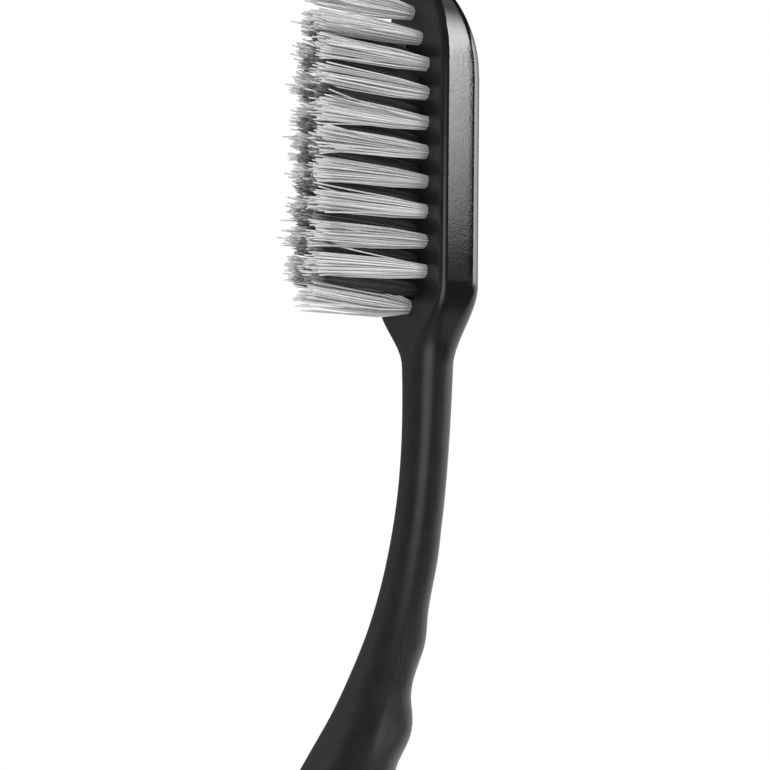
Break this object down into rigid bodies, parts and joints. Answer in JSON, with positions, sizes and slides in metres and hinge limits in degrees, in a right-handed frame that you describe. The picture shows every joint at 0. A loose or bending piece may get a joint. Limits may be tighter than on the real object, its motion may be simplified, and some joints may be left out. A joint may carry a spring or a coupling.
{
  "type": "manual toothbrush",
  "caption": "Manual toothbrush with an oval head, light and dark bristle tufts held by anchor plates in blind holes, a slim curved neck and a swelling grip with a waved back.",
  "frame": {"origin": "middle of the grip's straight back, on the flat that the brush lies on", "axes": "+X along the grip to the head, +Z out of the bristle side, +Y to the left of the two"},
  "size_m": [0.1835, 0.0132, 0.0282],
  "materials": {
    "handle_plastic": "glossy head, satin neck and grip",
    "light_bristle": "satin nylon filament",
    "dark_bristle": "satin nylon filament with paler tips",
    "anchor_metal": "plain"
  },
  "bodies": {
    "root": {"anchor_plates": "anchor_metal", "handle": "handle_plastic", "inner_tuft_02": "dark_bristle", "inner_tuft_03_left": "dark_bristle", "inner_tuft_03_right": "dark_bristle", "inner_tuft_04_left": "dark_bristle", "inner_tuft_04_right": "dark_bristle", "inner_tuft_05_left": "dark_bristle", "inner_tuft_05_right": "dark_bristle", "inner_tuft_06_left": "dark_bristle", "inner_tuft_06_right": "dark_bristle", "inner_tuft_07_left": "dark_bristle", "inner_tuft_07_right": "dark_bristle", "inner_tuft_08_left": "dark_bristle", "inner_tuft_08_right": "dark_bristle", "inner_tuft_09_left": "dark_bristle", "inner_tuft_09_right": "dark_bristle", "inner_tuft_10_left": "dark_bristle", "inner_tuft_10_right": "dark_bristle", "outer_tuft_01": "light_bristle", "outer_tuft_02_left": "light_bristle", "outer_tuft_02_right": "light_bristle", "outer_tuft_03_left": "light_bristle", "outer_tuft_03_right": "light_bristle", "outer_tuft_04_left": "light_bristle", "outer_tuft_04_right": "light_bristle", "outer_tuft_05_left": "light_bristle", "outer_tuft_05_right": "light_bristle", "outer_tuft_06_left": "light_bristle", "outer_tuft_06_right": "light_bristle", "outer_tuft_07_left": "light_bristle", "outer_tuft_07_right": "light_bristle", "outer_tuft_08_left": "light_bristle", "outer_tuft_08_right": "light_bristle", "outer_tuft_09_left": "light_bristle", "outer_tuft_09_right": "light_bristle", "outer_tuft_10_left": "light_bristle", "outer_tuft_10_right": "light_bristle", "outer_tuft_11": "light_bristle"}
  },
  "joints": []
}
